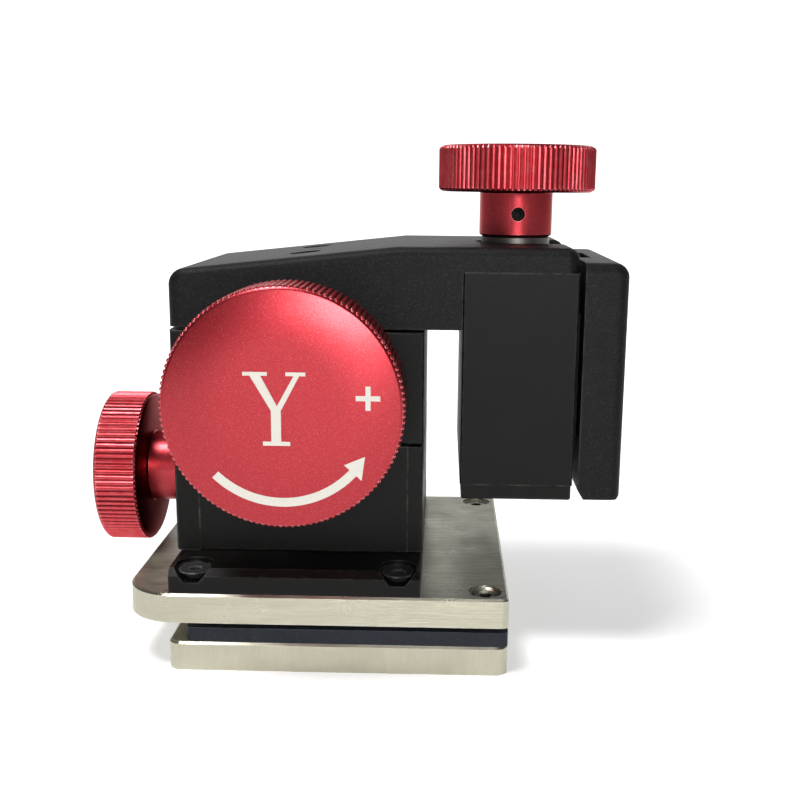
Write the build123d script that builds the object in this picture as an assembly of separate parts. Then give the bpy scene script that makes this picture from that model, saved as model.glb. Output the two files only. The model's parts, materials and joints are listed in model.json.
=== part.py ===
from build123d import *
import os
from math import cos, radians, sin, sqrt

# Probe micropositioner: a magnetic base, three equal crossed-roller stages stacked X, Y, Z,
# and a slab on the last one that carries the probe arm. Millimetres.
# Origin: centre of the base's underside. +X towards the Z stage, +Y to the back, +Z up.

# Magnetic base
base_length = 79.4
plate_length = 90.0
plate_depth = 85.0
bottom_plate_t = 6.9
magnet_gap = 4.8
top_plate_t = 7.0
front_corner_r = 12.0
small_corner_r = 3.0
edge_break = 0.5
carrier_left = 4.4
carrier_inset = 0.5
carrier_t = 3.55
magnet_r = 10.0
magnet_t = 3.0
plate_screw_inset = 5.4
plate_screw_sunk = 0.5
plate_screw_bite = 5.0
hidden_screw_inset = 20.0

# Flange under the stages
flange_length = 58.3
flange_shift = 0.5
stack_shift = 1.9
flange_inset = 0.5
flange_t = 5.8
flange_chamfer = 1.6
pocket_in_x = 5.3
pocket_in_y = 5.0
pocket_floor = 2.65
pocket_head_top = 4.65
pocket_r = 4.25
pocket_slit_half = 1.7

# One stage: travel along its own x, from the knob end; width along y; table side at +z
stage_width = 59.4
stage_height = 26.7
knob_plate_t = 5.7
body_length = 50.1
end_cap_t = 3.6
screw_axis_h = 13.4
wall_t = 4.0
floor_t = 5.0
ledge_h = 15.2
well_half = 13.0
end_wall = 3.35
screw_hole_play = 0.3
rail_w = 5.0
rail_h = 8.0
rail_gap = 1.0
roller_d = 3.0
roller_play = 0.03
roller_pitch = 4.2
rollers_per_cage = 6
cage_t = 0.5
table_length = 30.0
table_cap_t = 3.1
table_proud = 0.3
table_clearance = 0.3

# Drive screw, nut and bearings
thread_r = 3.0
tail_r = 2.0
running_gap = 0.05
collar_r = 4.6
collar_t = 2.0
nut_half = 9.9
nut_length = 12.0
nut_bottom = 6.6
nut_top = 20.0
bearing_r = 6.5
ring_r = 8.6
ring_h = 1.6

# Knobs
hub_r = 9.1
hub_length = 10.7
small_knob_r = 19.5
small_knob_t = 11.2
small_knob_teeth = 88
big_knob_r = 26.35
big_knob_t = 13.5
big_knob_teeth = 126
knob_rim = 0.5
tooth_depth = 0.45
set_screw_r = 1.6
set_screw_h = 5.4
set_screw_sunk = 1.6
x_knob_turned = 150.0

# Gaps between the stages, the arm and the slab
x_to_y_gap = 0.35
y_to_arm_gap = 0.6
arm_length_left = 0.3
arm_top_h = 18.95
arm_left_drop = 5.85
arm_kink = 53.4
arm_edge_r = 3.0
arm_end_r = 4.0
arm_screw_bite = 7.0
slot_half = 10.0
slab_gap = 1.3
slab_t = 10.25
slab_low = 0.3
slab_height = 55.9
slab_corner_r = 3.4
slab_notch = 3.5
probe_hole_pitch = 40.0
probe_hole_r = 1.65
probe_hole_depth = 8.0

# Fasteners: metric sizes
m4_r = 2.0
m4_head_r = 4.0
m4_cap_r = 3.5
m4_head_t = 4.0
m4_low_head_t = 2.3
m3_r = 1.5
m3_head_r = 2.9
m3_long = 8.8
m3_short = 6.8

# Levels and places worked out from the sizes above
top_plate_z = bottom_plate_t + magnet_gap
flange_z = top_plate_z + top_plate_t
x_stage_z = flange_z + flange_t
y_stage_z = x_stage_z + stage_height + x_to_y_gap
arm_z = y_stage_z + stage_height + y_to_arm_gap
roof_z = arm_z + arm_top_h
stage_length = knob_plate_t + body_length + end_cap_t
plate_left = base_length / 2 - plate_length
flange_x = -9.95
stage_x = flange_x - flange_shift
x_stage_left = stage_x - stage_length / 2
z_stage_x = 28.05
slab_x = z_stage_x + stage_height + slab_gap
slab_z = roof_z - stage_length + slab_low
roof_under = roof_z - knob_plate_t
arm_bolt_seat = arm_z + 8.0
rail_inner = stage_width / 2 - wall_t - rail_w
stem_half = rail_inner - rail_gap - rail_w
roller_y = rail_inner - rail_gap / 2
roller_z = ledge_h + rail_h / 2
cavity_mid = knob_plate_t + body_length / 2
cavity_start = knob_plate_t + end_wall
cavity_length = body_length - 2 * end_wall
table_top = stage_height + table_proud

# Each stage's own frame: where its knob end stands and which way it points
stack = Plane(origin=(0, stack_shift, 0), x_dir=(1, 0, 0), z_dir=(0, 0, 1))
x_stage = Plane(origin=(x_stage_left, stack_shift, x_stage_z), x_dir=(1, 0, 0), z_dir=(0, 0, 1))
y_stage = Plane(origin=(stage_x, stack_shift - stage_length / 2, y_stage_z), x_dir=(0, 1, 0), z_dir=(0, 0, 1))
z_stage = Plane(origin=(z_stage_x, stack_shift, roof_z), x_dir=(0, 0, -1), z_dir=(1, 0, 0))


def box(x0, x1, y0, y1, z0, z1):
    """A block between two corners."""
    centre = Location(((x0 + x1) / 2, (y0 + y1) / 2, (z0 + z1) / 2))
    return centre * Box(x1 - x0, y1 - y0, z1 - z0)


def rod(x, y, z0, z1, r):
    """An upright cylinder."""
    return Location((x, y, (z0 + z1) / 2)) * Cylinder(r, z1 - z0)


def rod_x(x0, x1, y, z, r):
    """A cylinder along the stage's travel."""
    return Location(((x0 + x1) / 2, y, z), (0, 90, 0)) * Cylinder(r, x1 - x0)


def plate(x0, x1, depth, z0, z1, left_r, right_r):
    """A flat plate with its own corner radius at each end."""
    solid = box(x0, x1, -depth / 2, depth / 2, z0, z1)
    upright = solid.edges().filter_by(Axis.Z).sort_by(Axis.X)
    solid = fillet(upright[:2], left_r)
    upright = solid.edges().filter_by(Axis.Z).sort_by(Axis.X)
    solid = fillet(upright[-2:], right_r)
    return chamfer(solid.faces().sort_by(Axis.Z)[-1].edges(), edge_break)


def flat_screw(x, y, top, length, r, head_r):
    """A countersunk screw, or the hole it fills, its head's top at the given height."""
    cone = Location((x, y, top - (head_r - r) / 2)) * Cone(r, head_r, head_r - r)
    return cone + rod(x, y, top - length, top - (head_r - r), r)


def low_screw(x, y, seat, length):
    """A low-head M4 cap screw standing on its seat."""
    head = rod(x, y, seat, seat + m4_low_head_t, m4_cap_r)
    return head + rod(x, y, seat - length, seat, m4_r)


# Magnetic base

def plate_screw_places():
    """The four screws that hold the base together: two in view, two under the flange."""
    right = base_length / 2 - plate_screw_inset
    left = -base_length / 2 + hidden_screw_inset
    side = plate_depth / 2 - plate_screw_inset
    return [(right, -side), (right, side), (left, -side), (left, side)]


def flange_screw_places():
    """The four screws that hold the flange to the top plate."""
    side = plate_depth / 2 - flange_inset - pocket_in_y
    ends = [flange_x - flange_length / 2 + pocket_in_x, flange_x + flange_length / 2 - pocket_in_x]
    return [(x, y) for x in ends for y in (-side, side)]


def housing_bolt_places():
    """Four bolts through a stage's floor, in the stage's own frame."""
    return [(cavity_mid + dx, dy) for dx in (-12.5, 12.5) for dy in (-9.0, 9.0)]


def magnet_places():
    """Six disc magnets in two rows."""
    middle = carrier_left / 2
    return [(middle + column * 24.0, row * 21.0) for column in (-1, 0, 1) for row in (-1, 1)]


def make_bottom_plate():
    half = base_length / 2
    solid = plate(-half, half, plate_depth, 0, bottom_plate_t, small_corner_r, small_corner_r)
    for x, y in plate_screw_places():
        solid -= rod(x, y, 1.2, bottom_plate_t, m4_r)
    return solid


def make_magnet_carrier():
    left = -base_length / 2 + carrier_left
    right = base_length / 2
    side = plate_depth - 2 * carrier_inset
    base = box(left, right, -side / 2, side / 2, bottom_plate_t, bottom_plate_t + carrier_t)
    base = fillet(base.edges().filter_by(Axis.Z), 1.5)
    pad = box(left + 4, right - 4, -side / 2 + 4, side / 2 - 4, bottom_plate_t + carrier_t, top_plate_z)
    solid = base + pad
    for x, y in magnet_places():
        solid -= rod(x, y, bottom_plate_t, bottom_plate_t + magnet_t, magnet_r)
    for x, y in plate_screw_places():
        solid -= rod(x, y, bottom_plate_t, top_plate_z, m4_r)
    return solid


def make_magnets():
    return [rod(x, y, bottom_plate_t, bottom_plate_t + magnet_t, magnet_r) for x, y in magnet_places()]


def make_top_plate():
    solid = plate(plate_left, base_length / 2, plate_depth, top_plate_z, flange_z, front_corner_r, 1.5)
    seat = flange_z - plate_screw_sunk
    for x, y in plate_screw_places():
        solid -= rod(x, y, seat, flange_z, m4_head_r)
        solid -= flat_screw(x, y, seat, top_plate_t, m4_r, m4_head_r)
    for x, y in flange_screw_places():
        solid -= rod(x, y, top_plate_z, flange_z, m4_r)
    return solid


def make_plate_screws():
    top = flange_z - plate_screw_sunk
    length = top - bottom_plate_t + plate_screw_bite
    return [flat_screw(x, y, top, length, m4_r, m4_head_r) for x, y in plate_screw_places()]


def flange_pocket(x, y):
    """A countersunk seat, open to the flange's front or back through a tapering gap."""
    head_top = flange_z + pocket_head_top
    low = flange_z + pocket_floor
    seat = flat_screw(x, y, head_top, pocket_head_top, m4_r, m4_head_r)
    well = rod(x, y, head_top, x_stage_z, pocket_r)
    outline = Polyline(
        (x - pocket_slit_half, low),
        (x - pocket_r, x_stage_z),
        (x + pocket_r, x_stage_z),
        (x + pocket_slit_half, low),
        close=True,
    )
    way_out = extrude(Plane.XZ * make_face(outline), pocket_in_y / 2, both=True)
    middle = y + pocket_in_y / 2 if y > 0 else y - pocket_in_y / 2
    return [seat, well, Location((0, middle, 0)) * way_out]


def make_flange():
    half = flange_length / 2
    side = plate_depth / 2 - flange_inset
    solid = box(flange_x - half, flange_x + half, -side, side, flange_z, x_stage_z)
    top = solid.faces().sort_by(Axis.Z)[-1].edges().filter_by(Axis.X)
    solid = chamfer(top, flange_chamfer)
    for x, y in flange_screw_places():
        solid = cut(solid, flange_pocket(x, y))
    for x, y in housing_bolt_places():
        solid -= rod(x_stage_left + x, stack_shift + y, flange_z, x_stage_z, m4_r)
    return solid


def make_flange_screws():
    top = flange_z + pocket_head_top
    length = pocket_head_top + top_plate_t
    return [flat_screw(x, y, top, length, m4_r, m4_head_r) for x, y in flange_screw_places()]


# One stage, built in its own frame

def cover_screw_places():
    """Corner screws of the knob plate and the end cap, across the stage."""
    return [(y, z) for y in (-20.0, 20.0) for z in (5.5, stage_height - 5.5)]


def at_knob_end(pieces):
    """Places upright screws or holes at the corners of the knob plate, heads outwards."""
    return [Location((0, y, z), (0, -90, 0)) * pieces for y, z in cover_screw_places()]


def at_far_end(pieces):
    """Places upright screws or holes at the corners of the end cap, heads outwards."""
    return [Location((stage_length, y, z), (0, 90, 0)) * pieces for y, z in cover_screw_places()]


def knob_plate_holes():
    """Countersunk corner holes through the knob plate into the housing."""
    return at_knob_end(flat_screw(0, 0, 0, m3_long, m3_r, m3_head_r))


def end_cap_holes():
    """Countersunk corner holes through the end cap into the housing."""
    return at_far_end(flat_screw(0, 0, 0, m3_short, m3_r, m3_head_r))


def knob_plate_screws():
    return at_knob_end(flat_screw(0, 0, 0, m3_long, m3_r, m3_head_r))


def end_cap_screws():
    return at_far_end(flat_screw(0, 0, 0, m3_short, m3_r, m3_head_r))


def make_housing(floor_bolts, reach, knob_plate=True):
    """The open trough that holds the rails, with holes for its bolts and its covers."""
    x0 = knob_plate_t
    x1 = knob_plate_t + body_length
    far = cavity_start + cavity_length
    half = stage_width / 2
    solid = box(x0, x1, -half, half, 0, stage_height)
    solid = chamfer(solid.edges().filter_by(Axis.X), 0.4)
    solid -= box(cavity_start, far, -half + wall_t, half - wall_t, ledge_h, stage_height)
    solid -= box(cavity_start, far, -well_half, well_half, floor_t, ledge_h)
    solid -= rod_x(x0, cavity_start, 0, screw_axis_h, bearing_r)
    solid -= rod_x(far, x1, 0, screw_axis_h, thread_r + screw_hole_play)
    solid = cut(solid, end_cap_holes())
    if knob_plate:
        solid = cut(solid, knob_plate_holes())
    return cut(solid, floor_bolt_holes(floor_bolts, reach))


def make_knob_plate():
    """The plate that carries the main bearing."""
    half = stage_width / 2
    solid = box(0, knob_plate_t, -half, half, 0, stage_height)
    solid = chamfer(solid.faces().sort_by(Axis.X)[0].edges(), 0.4)
    solid -= rod_x(0, knob_plate_t, 0, screw_axis_h, bearing_r)
    return cut(solid, knob_plate_holes())


def make_end_cap():
    """The cover at the far end, which carries the screw's tail."""
    half = stage_width / 2 - 0.3
    x0 = knob_plate_t + body_length
    solid = box(x0, stage_length, -half, half, 0.3, stage_height - 0.3)
    solid = chamfer(solid.faces().sort_by(Axis.X)[-1].edges(), 0.4)
    solid -= rod_x(x0, stage_length, 0, screw_axis_h, tail_r + running_gap)
    return cut(solid, end_cap_holes())


def rail(inner, low, length, groove_side):
    """A hardened rail with a right-angled groove on the side that faces its partner."""
    depth = roller_d / 2 * sqrt(2) + roller_play * sqrt(2) - rail_gap / 2
    outer = inner + rail_w
    face = outer if groove_side > 0 else inner
    profile = Polyline(
        (face, roller_z - depth),
        (face - groove_side * depth, roller_z),
        (face, roller_z + depth),
        close=True,
    )
    groove = extrude(Plane.YZ * make_face(profile), length / 2, both=True)
    body = box(-length / 2, length / 2, inner, outer, low, low + rail_h)
    return Location((cavity_mid, 0, 0)) * (body - groove)


def make_fixed_rails():
    """The housing's two rails, their grooves facing inwards."""
    one = rail(rail_inner, ledge_h, cavity_length - 0.2, -1)
    return [one, mirror(one, about=Plane.XZ)]


def make_moving_rails():
    """The table's two rails, their grooves facing outwards."""
    one = rail(stem_half, ledge_h + table_clearance, table_length, 1)
    return [one, mirror(one, about=Plane.XZ)]


def roller_stations():
    """Places of the rollers along one cage."""
    first = -(rollers_per_cage - 1) / 2
    return [cavity_mid + (first + number) * roller_pitch for number in range(rollers_per_cage)]


def make_rollers():
    """Crossed rollers: each leans the other way from its neighbour."""
    rollers = []
    for side in (-1, 1):
        for number, x in enumerate(roller_stations()):
            lean = 45 if number % 2 else -45
            place = Location((x, side * roller_y, roller_z), (lean, 0, 0))
            rollers.append(place * Cylinder(roller_d / 2, roller_d - 0.2))
    return rollers


def make_cages():
    """The two thin strips that space the rollers."""
    half_length = (rollers_per_cage * roller_pitch + 1.0) / 2
    low = ledge_h + 0.6
    high = ledge_h + rail_h - 0.6
    window = roller_d / 2 + 0.1
    window_h = 2.4
    strips = []
    for y in (-roller_y, roller_y):
        y0 = y - cage_t / 2
        y1 = y + cage_t / 2
        strip = box(cavity_mid - half_length, cavity_mid + half_length, y0, y1, low, high)
        for x in roller_stations():
            strip -= box(x - window, x + window, y0, y1, roller_z - window_h, roller_z + window_h)
        strips.append(strip)
    return strips


def make_table(bolt_places, bolt_depth):
    """The sliding table: a cap over the rails, a stem between them, a pocket for the nut."""
    x0 = cavity_mid - table_length / 2
    x1 = cavity_mid + table_length / 2
    cap_half = stage_width / 2 - wall_t - table_clearance
    cap_low = stage_height - table_cap_t
    channel = collar_r + table_clearance
    pocket = nut_length / 2
    solid = box(x0, x1, -cap_half, cap_half, cap_low, table_top)
    solid += box(x0, x1, -stem_half, stem_half, ledge_h + table_clearance, cap_low)
    solid -= box(x0, x1, -channel, channel, ledge_h, screw_axis_h + channel)
    solid -= box(cavity_mid - pocket, cavity_mid + pocket, -nut_half, nut_half, ledge_h, nut_top)
    for x, y in bolt_places:
        solid -= rod(x, y, table_top - bolt_depth, table_top, m4_r)
    return solid


def make_nut():
    """The brass nut that the drive screw moves; it seats in the table's pocket."""
    x0 = cavity_mid - nut_length / 2
    x1 = cavity_mid + nut_length / 2
    solid = box(x0, x1, -nut_half, nut_half, nut_bottom, nut_top)
    solid = chamfer(solid.faces().sort_by(Axis.Z)[0].edges(), 0.8)
    return solid - rod_x(x0, x1, 0, screw_axis_h, thread_r + running_gap)


def make_drive_screw():
    """The drive screw with its thrust collar behind the bearing and its tail in the end cap."""
    collar_x = cavity_start + running_gap
    knob_end = -ring_h - hub_length - 2.0
    tail_start = knob_plate_t + body_length - 0.5
    solid = rod_x(knob_end, tail_start, 0, screw_axis_h, thread_r)
    solid += rod_x(tail_start, stage_length - 0.3, 0, screw_axis_h, tail_r)
    return solid + rod_x(collar_x, collar_x + collar_t, 0, screw_axis_h, collar_r)


def make_bearing(plate_part_r):
    """The bearing: a body in the plate and the wall, and a ring proud under the knob's hub."""
    solid = rod_x(0, knob_plate_t, 0, screw_axis_h, plate_part_r)
    solid += rod_x(knob_plate_t, cavity_start, 0, screw_axis_h, bearing_r)
    solid += rod_x(-ring_h + 2 * running_gap, 0, 0, screw_axis_h, ring_r)
    solid = chamfer(solid.edges().filter_by(GeomType.CIRCLE).sort_by(Axis.X)[0], 0.3)
    return solid - rod_x(-ring_h, cavity_start, 0, screw_axis_h, thread_r + running_gap)


def knurl_outline(radius, teeth):
    """A star outline: one point on each tooth and one in each groove."""
    points = []
    step = 180.0 / teeth
    for number in range(2 * teeth):
        r = radius if number % 2 == 0 else radius - tooth_depth
        angle = radians(number * step)
        points.append((r * cos(angle), r * sin(angle)))
    return make_face(Polyline(*points, close=True))


def make_knob(radius, thickness, teeth):
    """A straight-knurled knob with plain rims and a hub; its axis is z, the hub's end at 0."""
    face = hub_length + thickness
    band_low = hub_length + knob_rim
    band_high = face - knob_rim
    root = radius - tooth_depth
    profile = Polyline(
        (0, 0),
        (hub_r - 0.4, 0),
        (hub_r, 0.4),
        (hub_r, hub_length),
        (root - knob_rim, hub_length),
        (root, band_low),
        (root, band_high),
        (root - knob_rim, face),
        (0, face),
        close=True,
    )
    blank = revolve(Plane.XZ * make_face(profile), Axis.Z)
    band = extrude(Location((0, 0, band_low)) * knurl_outline(radius, teeth), band_high - band_low)
    knob = blank + band
    knob -= rod(0, 0, 0, hub_length + 2.0, thread_r)
    tapped = Location((0, -hub_r / 2, set_screw_h), (90, 0, 0)) * Cylinder(set_screw_r, hub_r)
    return knob - tapped


def make_set_screw():
    """The socket set screw that locks the knob, in the knob's frame."""
    tip = thread_r
    seat = hub_r - set_screw_sunk
    return Location((0, -(tip + seat) / 2, set_screw_h), (90, 0, 0)) * Cylinder(set_screw_r, seat - tip)


def on_screw(solid, turned):
    """Turns a piece from the knob's frame onto the stage's screw, knob outwards."""
    upright = Location((0, 0, 0), (0, 0, turned)) * solid
    return Location((-ring_h, 0, screw_axis_h), (0, -90, 0)) * upright


def make_floor_bolts(places, length):
    """Low-head bolts through a stage's floor, in the stage's own frame."""
    return [low_screw(x, y, floor_t - 2.4, length) for x, y in places]


def floor_bolt_holes(places, reach):
    """Counterbored holes for the floor bolts."""
    holes = []
    for x, y in places:
        holes.append(rod(x, y, floor_t - 2.4, floor_t, m4_cap_r + 0.2))
        holes.append(rod(x, y, floor_t - 2.4 - reach, floor_t, m4_r))
    return holes


def cut(solid, tools):
    """Takes every tool out of a solid."""
    for tool in tools:
        solid -= tool
    return solid


# Arm and slab

def arm_bolt_places():
    """The two bolts from the arm's top into the Y table."""
    table_y = cavity_mid - stage_length / 2
    return [(stage_x, table_y - 12.5), (stage_x, table_y + 12.5)]


def z_bolt_places():
    """The two bolts that hold the Z housing to the arm's end, in the Z stage's frame."""
    return [(cavity_start + 4.5, -8.0), (cavity_start + 4.5, 8.0)]


def y_table_bolt_places():
    """Four bolts through the Y housing's floor into the X table, in the Y stage's frame."""
    middle = stage_length / 2
    return [(middle + dx, dy) for dx in (-9.5, 9.5) for dy in (-10.0, 10.0)]


def arm_profile():
    """The arm seen from the front: thick end, sloped back, roof over the Z stage."""
    left = x_stage_left - arm_length_left
    right = z_stage_x + stage_height
    return Polyline(
        (left, arm_z),
        (z_stage_x, arm_z),
        (z_stage_x, roof_under),
        (right, roof_under),
        (right, roof_z),
        (left + arm_kink, roof_z),
        (left, roof_z - arm_left_drop),
        close=True,
    )


def is_top_side_edge(edge):
    """True for the long edges along the arm's top, front and back."""
    on_side = abs(abs(edge.center().Y) - stage_width / 2) < 0.01
    on_top = edge.bounding_box().max.Z > roof_z - 0.01
    return on_side and on_top and edge.length > 20


def make_arm():
    """The arm, rounded along its top, with its slot and its bolt holes."""
    solid = extrude(Plane.XZ * make_face(arm_profile()), stage_width / 2, both=True)
    upper_left = solid.edges().filter_by(Axis.Y).group_by(Axis.X)[0].sort_by(Axis.Z)[-1]
    solid = fillet(upper_left, arm_end_r)
    roof_end = solid.edges().filter_by(Axis.Z).filter_by(lambda edge: edge.center().Z > roof_under)
    solid = fillet(roof_end, arm_edge_r)
    solid = fillet(solid.edges().filter_by(is_top_side_edge), arm_edge_r - 0.5)
    axis_x = z_stage_x + screw_axis_h
    solid -= rod(axis_x, 0, roof_under, roof_z, slot_half)
    solid -= box(axis_x, z_stage_x + stage_height, -slot_half, slot_half, roof_under, roof_z)
    for x, y in arm_bolt_places():
        solid -= rod(x, y, arm_bolt_seat, roof_z, m4_head_r)
        solid -= rod(x, y, arm_z, arm_bolt_seat, m4_r)
    for x, y in z_bolt_places():
        solid -= Location((z_stage_x - 4.0, y, roof_z - x), (0, 90, 0)) * Cylinder(m4_r, 8.0)
    return solid


def make_arm_screws():
    """Socket cap screws deep in the arm's two counterbores."""
    screws = []
    for x, y in arm_bolt_places():
        head = rod(x, y, arm_bolt_seat, arm_bolt_seat + m4_head_t, m4_cap_r)
        screws.append(head + rod(x, y, arm_z - arm_screw_bite, arm_bolt_seat, m4_r))
    return screws


def slab_bolt_places():
    """The four bolts that hold the slab to the Z table, as (y, z)."""
    table_z = roof_z - cavity_mid
    return [(dy, table_z + dz) for dy in (-9.0, 9.0) for dz in (-11.0, 11.0)]


def probe_hole_places():
    """The four tapped holes for the probe arm, as (y, z)."""
    middle = slab_z + slab_height / 2
    half = probe_hole_pitch / 2
    return [(dy, middle + dz) for dy in (-half, half) for dz in (-half, half)]


def make_slab():
    """The slab that carries the probe arm, on the Z table."""
    right = slab_x + slab_t
    half = stage_width / 2
    solid = box(slab_x, right, -half, half, slab_z, slab_z + slab_height)
    outer = solid.edges().filter_by(Axis.Y).sort_by(Axis.Z)
    solid = fillet(outer[-2:].sort_by(Axis.X)[-1], slab_corner_r)
    lower = solid.edges().filter_by(Axis.Y).sort_by(Axis.Z)[:2].sort_by(Axis.X)
    solid = chamfer(lower[-1], 0.9)
    lower = solid.edges().filter_by(Axis.Y).filter_by(lambda edge: edge.center().Z < slab_z + 0.01)
    solid = chamfer(lower.sort_by(Axis.X)[0], 2.3, 1.4, reference=solid.faces().sort_by(Axis.X)[0])
    upright = solid.edges().filter_by(Axis.Z).filter_by(lambda edge: edge.length > 30)
    solid = fillet(upright.sort_by(Axis.X)[-2:], 2.8)
    solid -= box(slab_x, slab_x + slab_notch, -slot_half, slot_half, slab_z + slab_height - 6.0,
                 slab_z + slab_height)
    for y, z in slab_bolt_places():
        solid -= Location((right - 2.5, y, z), (0, 90, 0)) * Cylinder(m4_head_r, 5.0)
        solid -= Location((right - slab_t / 2, y, z), (0, 90, 0)) * Cylinder(m4_r, slab_t)
    for y, z in probe_hole_places():
        solid -= Location((right - probe_hole_depth / 2, y, z), (0, 90, 0)) * Cylinder(
            probe_hole_r, probe_hole_depth)
    return solid


def make_slab_screws():
    """Low-head bolts in the slab's counterbores, pointing into the Z table."""
    seat = slab_x + slab_t - 5.0
    length = seat - (z_stage_x + stage_height + table_proud) + 2.8
    screws = []
    for y, z in slab_bolt_places():
        screws.append(Location((seat, y, z), (0, 90, 0)) * low_screw(0, 0, 0, length))
    return screws


def make_slab_spacer():
    """The plate that lifts the slab off the Z table, inside the dark gap."""
    x0 = z_stage_x + stage_height + table_proud
    table_z = roof_z - cavity_mid
    solid = box(x0, slab_x, -22.0, 22.0, table_z - table_length / 2, table_z + table_length / 2)
    for y, z in slab_bolt_places():
        solid -= Location((x0, y, z), (0, 90, 0)) * Cylinder(m4_r, 4.0)
    return solid


# The whole model

def write(name, shape, frame=None):
    """Saves one node, placed by its stage's frame."""
    pieces = shape if isinstance(shape, list) else [shape]
    if frame is not None:
        pieces = [frame.location * piece for piece in pieces]
    whole = pieces[0] if len(pieces) == 1 else Compound(children=pieces)
    export_step(whole, f"parts/{name}.step")


def write_drive(axis, frame, knob, bearing_plate_r, turned=0.0):
    """Rails, rollers, cages, nut, screw, knob and bearing of one stage."""
    write(f"{axis}_fixed_rails", make_fixed_rails(), frame)
    write(f"{axis}_moving_rails", make_moving_rails(), frame)
    write(f"{axis}_rollers", make_rollers(), frame)
    write(f"{axis}_roller_cages", make_cages(), frame)
    write(f"{axis}_nut", make_nut(), frame)
    write(f"{axis}_drive_screw", make_drive_screw(), frame)
    write(f"{axis}_bearing", make_bearing(bearing_plate_r), frame)
    write(f"{axis}_knob", on_screw(knob, turned), frame)
    write(f"{axis}_set_screw", on_screw(make_set_screw(), turned), frame)


def write_base():
    write("bottom_plate", make_bottom_plate())
    write("magnet_carrier", make_magnet_carrier())
    write("magnets", make_magnets())
    write("top_plate", make_top_plate())
    write("plate_screws", make_plate_screws())
    write("mounting_flange", make_flange())
    write("flange_screws", make_flange_screws())


def write_x_stage(knob):
    bolts = housing_bolt_places()
    above = [y_stage.from_local_coords((x, y, 0)) for x, y in y_table_bolt_places()]
    table_bolts = [(place.X - x_stage_left, place.Y - stack_shift) for place in above]
    write("x_housing", make_housing(bolts, floor_t), x_stage)
    write("x_housing_bolts", make_floor_bolts(bolts, 7.5), x_stage)
    write("x_knob_plate", make_knob_plate(), x_stage)
    write("x_end_cap", make_end_cap(), x_stage)
    write("x_cover_screws", knob_plate_screws() + end_cap_screws(), x_stage)
    write("x_table", make_table(table_bolts, 5.0), x_stage)
    write_drive("x", x_stage, knob, bearing_r, x_knob_turned)


def write_y_stage(knob):
    bolts = y_table_bolt_places()
    table_bolts = [(cavity_mid - 12.5, 0), (cavity_mid + 12.5, 0)]
    write("y_housing", make_housing(bolts, floor_t), y_stage)
    write("y_housing_bolts", make_floor_bolts(bolts, 6.5), y_stage)
    write("y_knob_plate", make_knob_plate(), y_stage)
    write("y_end_cap", make_end_cap(), y_stage)
    write("y_cover_screws", knob_plate_screws() + end_cap_screws(), y_stage)
    write("y_table", make_table(table_bolts, 7.5), y_stage)
    write_drive("y", y_stage, knob, bearing_r)


def write_z_stage(knob):
    bolts = z_bolt_places()
    table_bolts = [(cavity_mid + dx, dy) for dx in (-11.0, 11.0) for dy in (-9.0, 9.0)]
    write("z_housing", make_housing(bolts, floor_t, knob_plate=False), z_stage)
    write("z_housing_bolts", make_floor_bolts(bolts, 8.0), z_stage)
    write("z_end_cap", make_end_cap(), z_stage)
    write("z_cover_screws", end_cap_screws(), z_stage)
    write("z_table", make_table(table_bolts, 3.0), z_stage)
    write_drive("z", z_stage, knob, ring_r)


def main():
    os.makedirs("parts", exist_ok=True)
    small_knob = make_knob(small_knob_r, small_knob_t, small_knob_teeth)
    big_knob = make_knob(big_knob_r, big_knob_t, big_knob_teeth)
    write_base()
    write_x_stage(small_knob)
    write_y_stage(big_knob)
    write("arm", make_arm(), stack)
    write("arm_screws", make_arm_screws(), stack)
    write_z_stage(small_knob)
    write("slab_spacer", make_slab_spacer(), stack)
    write("probe_slab", make_slab(), stack)
    write("slab_screws", make_slab_screws(), stack)


main()
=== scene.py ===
"""Probe micropositioner: the finishes, knurled knobs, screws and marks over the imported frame."""

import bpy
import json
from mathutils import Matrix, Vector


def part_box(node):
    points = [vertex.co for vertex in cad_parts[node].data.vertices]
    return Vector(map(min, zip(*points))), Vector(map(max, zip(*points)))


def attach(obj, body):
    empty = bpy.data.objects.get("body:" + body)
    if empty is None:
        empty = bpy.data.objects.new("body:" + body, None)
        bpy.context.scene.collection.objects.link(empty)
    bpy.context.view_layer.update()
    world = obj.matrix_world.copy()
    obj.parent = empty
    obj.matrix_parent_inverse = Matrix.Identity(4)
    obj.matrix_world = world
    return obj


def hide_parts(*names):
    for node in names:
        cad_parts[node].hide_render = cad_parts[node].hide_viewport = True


bl_info = {
    "name": "Probe micropositioner",
    "version": (1, 0, 0),
    "blender": (4, 5, 0),
    "location": "3D View > Sidebar > Positioner",
    "description": "Dresses a three-axis probe micropositioner",
    "category": "Object",
}

import json
import math

import bmesh
import bpy
from bpy.props import FloatProperty, FloatVectorProperty, IntProperty, PointerProperty
from mathutils import Matrix, Vector

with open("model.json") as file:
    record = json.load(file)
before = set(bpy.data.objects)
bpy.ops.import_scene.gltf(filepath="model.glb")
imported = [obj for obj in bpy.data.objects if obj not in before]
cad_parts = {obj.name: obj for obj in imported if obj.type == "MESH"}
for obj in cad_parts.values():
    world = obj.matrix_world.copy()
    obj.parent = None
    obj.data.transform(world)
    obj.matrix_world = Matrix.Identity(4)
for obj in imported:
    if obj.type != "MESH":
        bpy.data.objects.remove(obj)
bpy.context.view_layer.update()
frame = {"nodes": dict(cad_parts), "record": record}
NODES = frame["nodes"]
MM = 0.001
BODY_OF = {n: b for b, names in frame["record"]["behaviour"]["bodies"].items() for n in names}
SLOT_OF = {s["node"]: s["material_slot"] for s in frame["record"]["subparts"]}


def middle(node):
    low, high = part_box(node)
    return (low + high) / 2


# Sizes and colours


def number(name, description, default, unit="LENGTH"):
    return FloatProperty(name=name, description=description, default=default, unit=unit, precision=5)


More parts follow.
